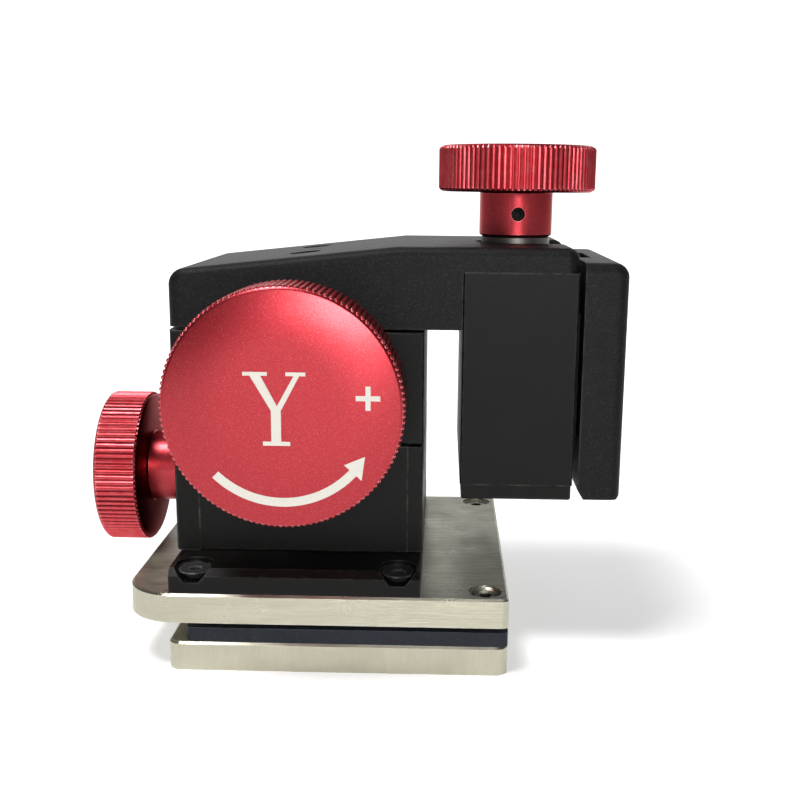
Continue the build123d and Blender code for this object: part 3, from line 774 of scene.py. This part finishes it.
def knob_sizes(axis):
    """Outer radius, full length and tooth count of one knob."""
    node, out, up = KNOBS[axis]
    low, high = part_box(node)
    side = high - low
    long_way = side.dot(Vector(map(abs, out)))
    across = side.dot(Vector(map(abs, up)))
    sized = sizes("positioner_knobs")
    return across / 2, long_way, sized.big_teeth if axis == "y" else sized.small_teeth


def knob_profile(radius, whole, sized):
    """Half section of a knob: hub, back face, plain rims round the knurl, flat front face."""
    hub, back, rim = sized.hub_radius, sized.hub_length, sized.rim
    edge, fillet, soft, fine = 0.4 * MM, 0.3 * MM, 0.25 * MM, 0.1 * MM
    slope = rim * 0.85
    root = radius - sized.tooth * 0.72
    inner = root - slope
    return [
        (0.0, 0.0), (3.0 * MM, 0.0), (hub - edge, 0.0), (hub, edge), (hub, back - fillet),
        (hub + fillet, back), (inner - soft, back), (inner, back + fine),
        (root - fine, back + slope), (root, back + rim), (root, whole - rim),
        (root - fine, whole - slope), (inner, whole - fine), (inner - soft, whole),
        (inner * 0.5, whole), (0.0, whole),
    ]


def bore(body, place, radius, long_way):
    """Takes a round hole out of a piece with a bored cylinder."""
    work = lathe([(0, 0), (radius, 0), (radius, long_way), (0, long_way)], BORE_SIDES)
    tool = new_object("bore", to_mesh(work, "bore"))
    tool.data.transform(place)
    cut = body.modifiers.new("bore", "BOOLEAN")
    cut.operation = "DIFFERENCE"
    cut.object = tool
    body.data = shaped_mesh(body)
    bpy.data.objects.remove(tool)


def build_knob(axis):
    build_knob_body(axis)
    build_knurl(axis)
    build_set_screw(axis)


def build_knob_body(axis):
    """Hub and disc, with the set screw's hole. The attribute marks the hub, which the painted shade near
    black faces leaves out.
    """
    sized = sizes("positioner_knobs")
    radius, whole, _ = knob_sizes(axis)
    mesh = to_mesh(lathe(knob_profile(radius, whole, sized), KNOB_SIDES), axis + "_knob_body")
    hub = mesh.attributes.new("hub", "FLOAT", "POINT")
    for vertex in mesh.vertices:
        hub.data[vertex.index].value = 1.0 if vertex.co.z < sized.hub_length - 0.2 * MM else 0.0
    body = new_object(axis + "_knob_dressed", mesh)
    bore(body, set_screw_seat(axis, sized.hub_radius - HOLE_DEPTH), sized.screw_radius, HOLE_LENGTH)
    smooth(body.data)
    body.data.transform(knob_frame(axis))
    place_piece(body, axis + "_spindle", finishes()["red_anodised"], [axis + "_knob"])


def build_knurl(axis):
    sized = sizes("positioner_knobs")
    radius, whole, teeth = knob_sizes(axis)
    knurl = whole - sized.hub_length - 2 * sized.rim
    values = {
        "Teeth": teeth, "Radius": radius - sized.tooth, "Ridge": sized.tooth, "Length": knurl + KNURL_OVERLAP,
        "Taper": KNURL_TAPER, "Height": sized.hub_length + sized.rim + knurl / 2,
        "Finish": finishes()["red_knurl_lit"],
    }
    carrier = new_object("carrier", bpy.data.meshes.new("carrier"))
    mesh = run_tree(carrier, group(knurl_tree), values, axis + "_knob_knurl")
    mesh.transform(knob_frame(axis))
    place_piece(new_object(axis + "_knob_knurl", mesh), axis + "_spindle", None)


def build_set_screw(axis):
    sized = sizes("positioner_knobs")
    radius = sized.screw_radius - SLIDING_FIT
    profile = [(radius, -SET_SCREW_LENGTH), (radius, -SET_SCREW_EDGE), (radius - SET_SCREW_EDGE, 0.0)]
    mesh = hex_screw("set_screw", profile, SET_SCREW_KEY, SET_SCREW_SOCKET)
    mesh.transform(knob_frame(axis) @ set_screw_seat(axis, sized.hub_radius - SET_SCREW_SUNK))
    smooth(mesh)
    screw = new_object(axis + "_set_screw_head", mesh)
    place_piece(screw, axis + "_spindle", finishes()["socket_shade_black"], [axis + "_set_screw"])


def set_screw_seat(axis, from_axis):
    """In the knob's own frame: z out along the set screw's hole, from a distance off the knob's axis."""
    height = Matrix.Translation((0, 0, sizes("positioner_knobs").screw_height))
    turned = height @ Matrix.Rotation(bore_turn(axis), 4, "Z")
    return turned @ Matrix.Translation((from_axis, 0, 0)) @ Matrix.Rotation(math.pi / 2, 4, "Y")


def bore_turn(axis):
    """Which way the set screw's hole looks, about the knob's axis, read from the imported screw."""
    offset = knob_frame(axis).to_3x3().transposed() @ (middle(axis + "_set_screw") - middle(axis + "_knob"))
    return math.atan2(offset.y, offset.x)


# Marks, drawn in millimetres for a knob of the first radius, and scaled for the others


MARKS_RADIUS = 26.35 * MM
ARROW_START = -135.0
ARROW_END = -29.5
ARROWHEAD_ANGLE = 12.5
ARROWHEAD_SPREAD = 1.3
PLUS_PLACE = (18.4, 2.6)
PLUS_ARM = 2.6
PLUS_HALF_WIDTH = 0.55


def flat_piece(outlines, thickness):
    """Filled outlines with a little thickness, in the xy plane."""
    work = bmesh.new()
    for outline in outlines:
        lower = [work.verts.new((x * MM, y * MM, 0.0)) for x, y in outline]
        upper = [work.verts.new((x * MM, y * MM, thickness)) for x, y in outline]
        work.faces.new(lower[::-1])
        work.faces.new(upper)
        for k in range(len(outline)):
            n = (k + 1) % len(outline)
            work.faces.new((lower[k], lower[n], upper[n], upper[k]))
    work.normal_update()
    bmesh.ops.triangulate(work, faces=work.faces)
    return work


def plus_sign(x, y, arm, half):
    """A plus sign as one outline."""
    corners = [(half, half), (half, arm), (-half, arm), (-half, half), (-arm, half), (-arm, -half),
               (-half, -half), (-half, -arm), (half, -arm), (half, -half), (arm, -half), (arm, half)]
    return [(x + dx, y + dy) for dx, dy in corners]


def sweep(radius, width, start, stop):
    """A curved band with an arrowhead at its end; angles in degrees, anticlockwise."""
    head = stop - ARROWHEAD_ANGLE
    count = 48
    turn = [math.radians(start + (head - start) * k / count) for k in range(count + 1)]
    outer = [((radius + width / 2) * math.cos(a), (radius + width / 2) * math.sin(a)) for a in turn]
    inner = [((radius - width / 2) * math.cos(a), (radius - width / 2) * math.sin(a)) for a in turn]
    base, tip = math.radians(head), math.radians(stop)
    spread = width * ARROWHEAD_SPREAD
    corners = ((radius + spread, base), (radius, tip), (radius - spread, base))
    point = [(r * math.cos(a), r * math.sin(a)) for r, a in corners]
    return outer + point + inner[::-1]


def axis_letter(axis, scale):
    """A plain drawn axis letter with foot bars, as one outline about its own middle."""
    outline = {
        "x": [(-6.4, 8.0), (-1.6, 8.0), (-1.6, 7.2), (-2.8, 7.2), (0.3, 2.1), (3.2, 7.2), (1.9, 7.2),
              (1.9, 8.0), (6.0, 8.0), (6.0, 7.2), (4.5, 7.2), (0.9, 1.0), (5.2, -6.9), (6.6, -6.9),
              (6.6, -7.8), (1.5, -7.8), (1.5, -6.9), (2.9, -6.9), (-0.3, -1.2), (-3.6, -6.9), (-2.1, -6.9),
              (-2.1, -7.8), (-6.4, -7.8), (-6.4, -6.9), (-4.9, -6.9), (-0.9, -0.1), (-5.0, 7.2), (-6.4, 7.2)],
        "y": [(-8.1, 8.0), (-2.9, 8.0), (-2.9, 7.2), (-4.3, 7.2), (-0.9, 0.7), (2.7, 7.2), (1.0, 7.2),
              (1.0, 8.0), (5.2, 8.0), (5.2, 7.2), (3.9, 7.2), (-0.1, -0.3), (-0.1, -7.0), (1.8, -7.0),
              (1.8, -7.9), (-4.0, -7.9), (-4.0, -7.0), (-2.2, -7.0), (-2.2, -0.3), (-6.6, 7.2), (-8.1, 7.2)],
        "z": [(-5.0, 8.0), (5.0, 8.0), (5.0, 7.3), (-2.7, -6.8), (4.2, -6.8), (4.2, -4.3), (5.1, -4.3),
              (5.1, -7.8), (-5.2, -7.8), (-5.2, -7.0), (2.5, 7.0), (-4.2, 7.0), (-4.2, 4.6), (-5.0, 4.6)],
    }[axis]
    return [(x * scale, y * scale) for x, y in outline]


def build_marks(axis):
    marks = sizes("positioner_marks")
    radius, whole, _ = knob_sizes(axis)
    scale = radius / MARKS_RADIUS
    arrow = sweep(marks.arc_radius / MM * scale, marks.arc_width / MM * scale, ARROW_START, ARROW_END)
    x, y = PLUS_PLACE
    outlines = [axis_letter(axis, scale), arrow]
    outlines.append(plus_sign(x * scale, y * scale, PLUS_ARM * scale, PLUS_HALF_WIDTH * scale))
    mesh = to_mesh(flat_piece(outlines, marks.proud), axis + "_knob_mark")
    mesh.transform(knob_frame(axis) @ Matrix.Translation((0, 0, whole)))
    piece = new_object(axis + "_knob_mark", mesh)
    place_piece(piece, axis + "_spindle", finishes()["mark_white"])


# Screws


def screw_tops(node):
    """Top middle, outward direction and length of each separate screw of a node."""
    work = bmesh.new()
    work.from_mesh(NODES[node].data)
    bmesh.ops.remove_doubles(work, verts=work.verts, dist=SAME_POINT)
    left = set(work.verts)
    found = []
    while left:
        stack = [left.pop()]
        points = []
        while stack:
            vertex = stack.pop()
            points.append(vertex.co.copy())
            for edge in vertex.link_edges:
                other = edge.other_vert(vertex)
                if other in left:
                    left.discard(other)
                    stack.append(other)
        low = Vector([min(point[k] for point in points) for k in range(3)])
        high = Vector([max(point[k] for point in points) for k in range(3)])
        centre = (low + high) / 2
        axis = max(range(3), key=lambda k: high[k] - low[k])
        others = [k for k in range(3) if k != axis]
        rim = max(points, key=lambda point: sum((point[k] - centre[k]) ** 2 for k in others))
        up = 1.0 if rim[axis] > centre[axis] else -1.0
        top = centre.copy()
        top[axis] = high[axis] if up > 0 else low[axis]
        out = Vector([up if k == axis else 0.0 for k in range(3)])
        found.append((tuple(top), tuple(out), high[axis] - low[axis]))
    work.free()
    return sorted(found)


PLATE_SCREWS_SUNK = 0.4 * MM
SCREWS_SUNK = 0.1 * MM
SOCKET_DEPTH = 1.15
FIRST_SPIN = 0.2
NEXT_SPIN = 0.7


def screw_shape(kind, long_way, sunk):
    """Outer profile and key of a screw: flat (M4), small (M3), low or tall cap head (M4)."""
    sized = sizes("positioner_screws")
    if kind == "flat":
        return flat_profile(sized.head_radius - sunk, sized.shank, long_way), sized.key
    if kind == "small":
        return flat_profile(sized.small_head, sized.small_shank, long_way), sized.small_key
    if kind == "low":
        return cap_profile(sized.cap_radius, sized.low_head, sized.shank, long_way), sized.key
    return cap_profile(sized.cap_radius, sized.tall_head, sized.shank, long_way), sized.tall_key


def build_screws(node, kind, finish, sunk=0.0):
    """Dressed screws in place of every screw of a node, each turned its own way."""
    made = screw_tops(node)
    profile, key = screw_shape(kind, min(long_way for _, _, long_way in made) - sunk, sunk)
    tool = new_object("screw", hex_screw("screw", profile, key, SOCKET_DEPTH * key))
    carrier = bpy.data.meshes.new(node + "_points")
    carrier.from_pydata([Vector(top) - Vector(out) * sunk for top, out, _ in made], [], [])
    facing = carrier.attributes.new("facing", "FLOAT_VECTOR", "POINT")
    for number, (_, out, _) in enumerate(made):
        spin = Matrix.Rotation(NEXT_SPIN * number + FIRST_SPIN, 3, "Z")
        turned = Vector(out).to_track_quat("Z", "Y").to_matrix() @ spin
        facing.data[number].vector = turned.to_euler()
    values = {"Head": tool, "Finish": finish}
    mesh = run_tree(new_object(node + "_points", carrier), group(heads_tree), values, node + "_dressed")
    bpy.data.objects.remove(tool)
    smooth(mesh)
    place_piece(new_object(node + "_dressed", mesh), BODY_OF[node], None, [node])


# Operators


class BuildBase(bpy.types.Operator):
    """Finishes the magnetic base, its flange and the screws in both"""

    bl_idname = "positioner.base"
    bl_label = "Magnetic base"

    def execute(self, context):
        made = finishes()
        smooth_copy("top_plate", made["plate_top"])
        smooth_copy("bottom_plate", made["plate_side"])
        smooth_copy("magnet_carrier", made["carrier_black"])
        smooth_copy("mounting_flange", made["smooth_black"])
        dress("magnets", made["bright_steel"])
        build_screws("plate_screws", "flat", made["plated_painted_dark"], PLATE_SCREWS_SUNK)
        build_screws("flange_screws", "flat", made["black_oxide"], SCREWS_SUNK)
        return {"FINISHED"}


class BuildStages(bpy.types.Operator):
    """Finishes the three crossed-roller stages"""

    bl_idname = "positioner.stages"
    bl_label = "Stages"

    def execute(self, context):
        made = finishes()
        for node in sorted(NODES):
            axis, _, part = node.partition("_")
            if axis not in ("x", "y", "z"):
                continue
            if part in ("housing", "knob_plate", "end_cap", "table"):
                smooth_copy(node, made["smooth_black"])
            elif part == "bearing":
                smooth_copy(node, made["bright_steel"])
            elif part == "cover_screws":
                build_screws(node, "small", made["black_oxide"], SCREWS_SUNK)
            elif part == "housing_bolts":
                build_screws(node, "low", made["black_oxide"])
            elif part not in ("knob", "set_screw"):
                dress(node, made[SLOT_OF[node]])
        return {"FINISHED"}


class BuildArm(bpy.types.Operator):
    """Finishes the arm, the slab and what holds them"""

    bl_idname = "positioner.arm"
    bl_label = "Arm and slab"

    def execute(self, context):
        made = finishes()
        smooth_copy("arm", made["blasted_black"])
        smooth_copy("probe_slab", made["blasted_black"])
        smooth_copy("slab_spacer", made["smooth_black"])
        build_screws("arm_screws", "tall", made["black_oxide"])
        build_screws("slab_screws", "low", made["black_oxide"])
        return {"FINISHED"}


class BuildKnobs(bpy.types.Operator):
    """Makes the three knurled knobs with their set screws"""

    bl_idname = "positioner.knobs"
    bl_label = "Knobs"

    def execute(self, context):
        for axis in KNOBS:
            build_knob(axis)
        return {"FINISHED"}


class BuildMarks(bpy.types.Operator):
    """Puts the axis letter and the turning arrow on each knob"""

    bl_idname = "positioner.marks"
    bl_label = "Knob marks"

    def execute(self, context):
        for axis in KNOBS:
            build_marks(axis)
        return {"FINISHED"}


PICTURE_WIDTH = 800
SENSOR_WIDTH = 36.0
CAMERA_PLACE = Vector((23.445, -280.604, 112.27)) * MM
CAMERA_YAW = -0.023
CAMERA_PITCH = 0.214
CAMERA_ROLL = 0.010
PICTURE_CENTRE = (416.51, 420.96)
LAMPS_AIM = Vector((0, 0, 0.06))
KEY_PLACE = Vector((0.12, -1.15, 0.34))
KEY_SIDE = 0.34
TOP_PLACE = Vector((-0.30, -0.28, 1.20))
TOP_SIDE = 0.35
FLOOR_FRONT = -3.0
FLOOR_BACK = 1.2
FLOOR_HALF_WIDTH = 4.0
COVE_RADIUS = 0.8
BACKDROP_TOP = 3.2
GLOW_NEAR = 0.385
GLOW_FAR = 1.0


class BuildStudio(bpy.types.Operator):
    """Adds the floor, the soft lights and the camera"""

    bl_idname = "positioner.studio"
    bl_label = "Studio"

    def execute(self, context):
        settings = sizes("positioner_studio")
        self.add_floor()
        self.add_world(settings.sky)
        self.add_lamp("key_light", KEY_PLACE, KEY_SIDE, settings.key_power)
        self.add_lamp("top_light", TOP_PLACE, TOP_SIDE, settings.top_power)
        self.add_camera(settings.lens_pixels)
        bpy.context.scene.view_settings.view_transform = "Standard"
        return {"FINISHED"}

    def add_floor(self):
        """A pale floor that rises behind the object as one sheet."""
        bend = [math.radians(step) for step in range(6, 91, 6)]
        section = [(FLOOR_FRONT, 0.0), (FLOOR_BACK, 0.0)]
        section += [(FLOOR_BACK + COVE_RADIUS * math.sin(a), COVE_RADIUS * (1 - math.cos(a))) for a in bend]
        section.append((FLOOR_BACK + COVE_RADIUS, BACKDROP_TOP))
        work = bmesh.new()
        ends = (-FLOOR_HALF_WIDTH, FLOOR_HALF_WIDTH)
        rows = [[work.verts.new((x, y, z)) for y, z in section] for x in ends]
        for k in range(len(section) - 1):
            work.faces.new((rows[0][k], rows[1][k], rows[1][k + 1], rows[0][k + 1]))
        mesh = bpy.data.meshes.new("floor")
        work.to_mesh(mesh)
        work.free()
        mesh.shade_smooth()
        floor = new_object("floor", mesh)
        floor.data.materials.append(self.floor_white())

    def floor_white(self):
        """White whose glow only the camera and reflections see, so that it doesn't light matt surfaces."""
        material, tree, shader = new_material("floor_white", 0.0, 0.9)
        shader.inputs["Base Color"].default_value = (0.9, 0.9, 0.9, 1)
        shader.inputs["Emission Color"].default_value = (1, 1, 1, 1)
        place = add(tree, "ShaderNodeSeparateXYZ")
        tree.links.new(add(tree, "ShaderNodeTexCoord").outputs["Object"], place.inputs[0])
        glow = ramp(tree, place.outputs["Y"], -0.05, 0.52, GLOW_NEAR, GLOW_FAR)
        sides = ramp(tree, maths(tree, "ABSOLUTE", place.outputs["X"]), 0.95, 1.5, 1.0, 0.2)
        rays = add(tree, "ShaderNodeLightPath").outputs
        seen = maths(tree, "ADD", rays["Is Camera Ray"], rays["Is Glossy Ray"])
        seen = maths(tree, "ADD", seen, rays["Is Transmission Ray"], clamp=True)
        level = maths(tree, "MULTIPLY", maths(tree, "MULTIPLY", glow, sides), seen)
        tree.links.new(level, shader.inputs["Emission Strength"])
        return material

    def add_world(self, level):
        world = bpy.data.worlds.new("studio")
        bpy.context.scene.world = world
        world.use_nodes = True
        background = world.node_tree.nodes["Background"]
        background.inputs["Color"].default_value = (1, 1, 1, 1)
        background.inputs["Strength"].default_value = level

    def add_lamp(self, name, place, side, power):
        lamp = bpy.data.lights.new(name, "AREA")
        lamp.size = side
        lamp.energy = power
        holder = bpy.data.objects.new(name, lamp)
        bpy.context.scene.collection.objects.link(holder)
        holder.location = place
        holder.rotation_euler = (LAMPS_AIM - place).to_track_quat("-Z", "Y").to_euler()

    def add_camera(self, lens_pixels):
        forward = Vector((math.sin(CAMERA_YAW) * math.cos(CAMERA_PITCH),
                          math.cos(CAMERA_YAW) * math.cos(CAMERA_PITCH), -math.sin(CAMERA_PITCH)))
        right = Vector((math.cos(CAMERA_YAW), -math.sin(CAMERA_YAW), 0))
        down = forward.cross(right)
        turned = math.cos(CAMERA_ROLL) * right - math.sin(CAMERA_ROLL) * down
        lower = math.sin(CAMERA_ROLL) * right + math.cos(CAMERA_ROLL) * down
        data = bpy.data.cameras.new("camera")
        data.sensor_width = SENSOR_WIDTH
        data.lens = lens_pixels * SENSOR_WIDTH / PICTURE_WIDTH
        data.shift_x = 0.5 - PICTURE_CENTRE[0] / PICTURE_WIDTH
        data.shift_y = PICTURE_CENTRE[1] / PICTURE_WIDTH - 0.5
        data.clip_start = 0.01
        data.dof.use_dof = False
        camera = bpy.data.objects.new("camera", data)
        bpy.context.scene.collection.objects.link(camera)
        looking = Matrix((turned, -lower, -forward)).transposed().to_4x4()
        camera.matrix_world = Matrix.Translation(CAMERA_PLACE) @ looking
        bpy.context.scene.camera = camera


OPERATORS = (BuildBase, BuildStages, BuildArm, BuildKnobs, BuildMarks, BuildStudio)
SETTINGS = {
    "positioner_knobs": KnobSizes,
    "positioner_marks": MarkSizes,
    "positioner_screws": ScrewSizes,
    "positioner_colours": BodyColours,
    "positioner_studio": StageSettings,
}


class PositionerPanel(bpy.types.Panel):
    bl_label = "Probe micropositioner"
    bl_idname = "VIEW3D_PT_positioner"
    bl_space_type = "VIEW_3D"
    bl_region_type = "UI"
    bl_category = "Positioner"

    def draw(self, context):
        for operator in OPERATORS:
            self.layout.operator(operator.bl_idname)
        for name, kind in SETTINGS.items():
            box = self.layout.box()
            for key in kind.__annotations__:
                box.prop(getattr(context.scene, name), key)


def register():
    for kind in (*SETTINGS.values(), *OPERATORS, PositionerPanel):
        bpy.utils.register_class(kind)
    for name, kind in SETTINGS.items():
        setattr(bpy.types.Scene, name, PointerProperty(type=kind))


def unregister():
    for name in SETTINGS:
        delattr(bpy.types.Scene, name)
    for kind in (PositionerPanel, *reversed(OPERATORS), *reversed(list(SETTINGS.values()))):
        bpy.utils.unregister_class(kind)


def main():
    register()
    for operator in OPERATORS:
        family, name = operator.bl_idname.split(".")
        getattr(getattr(bpy.ops, family), name)()


if __name__ == "__main__":
    main()
